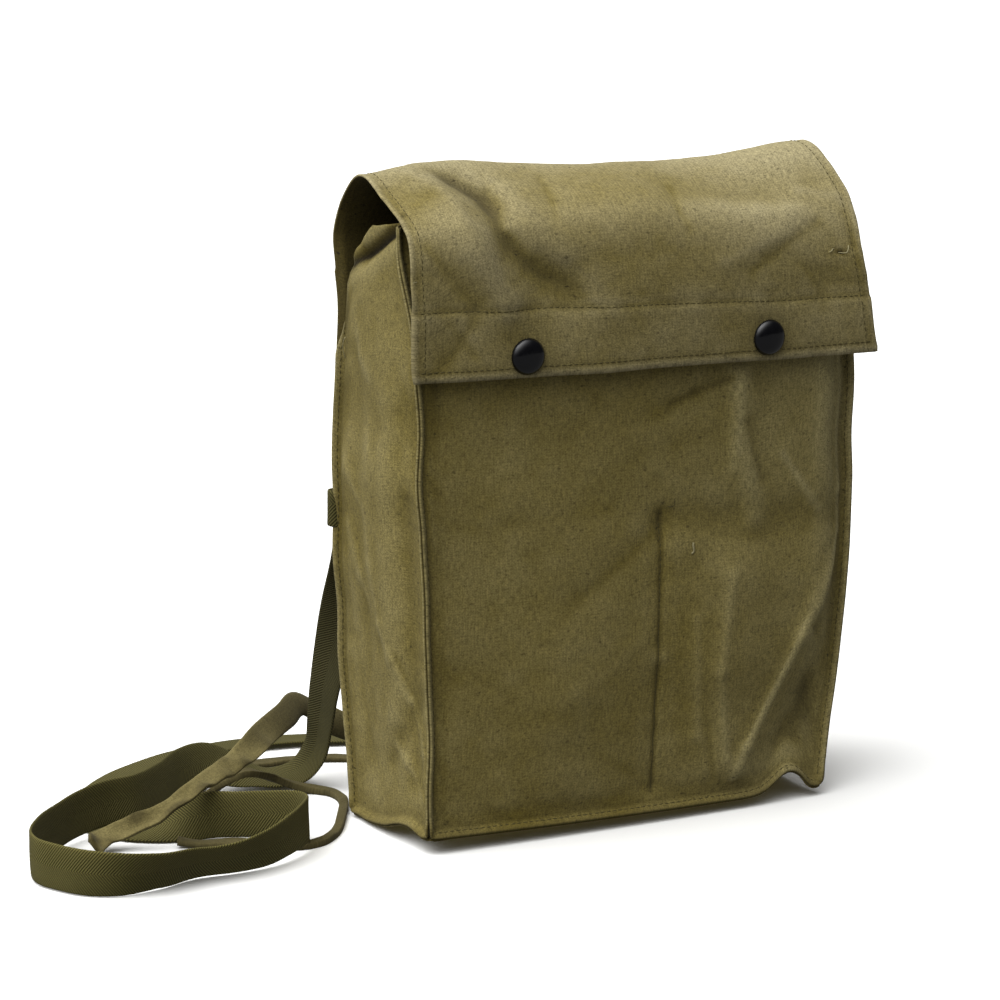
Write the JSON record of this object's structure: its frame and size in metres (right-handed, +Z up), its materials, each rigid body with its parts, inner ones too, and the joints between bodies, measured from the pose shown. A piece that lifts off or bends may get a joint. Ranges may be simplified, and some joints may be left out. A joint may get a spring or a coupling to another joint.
{
  "type": "canvas shoulder bag",
  "caption": "Tall olive canvas military shoulder bag with a snapped flap, raised corner seams, side gussets open at the top, and its tape strap and ties laid beside it.",
  "frame": {"origin": "middle of the bag on the floor, the loose straps apart", "axes": "+Z up, the front panel faces -Y, +X to the right of a viewer of the front"},
  "size_m": [0.3814, 0.2157, 0.2879],
  "materials": {
    "canvas": "dry worn cotton canvas",
    "tie_canvas": "paler plain canvas",
    "herringbone_tape": "herringbone cotton tape",
    "snap_black": "gloss black enamel"
  },
  "bodies": {
    "root": {"front_panel": "canvas", "left_gusset": "canvas", "right_gusset": "canvas", "bottom_panel": "canvas", "back_and_flap": "canvas", "snap_cap_left": "snap_black", "snap_cap_right": "snap_black", "snap_socket_left": "snap_black", "snap_socket_right": "snap_black", "strap_keeper_left": "herringbone_tape", "strap_keeper_right": "herringbone_tape", "shoulder_strap": "herringbone_tape", "waist_tie_left": "tie_canvas", "waist_tie_right": "tie_canvas"}
  },
  "joints": []
}
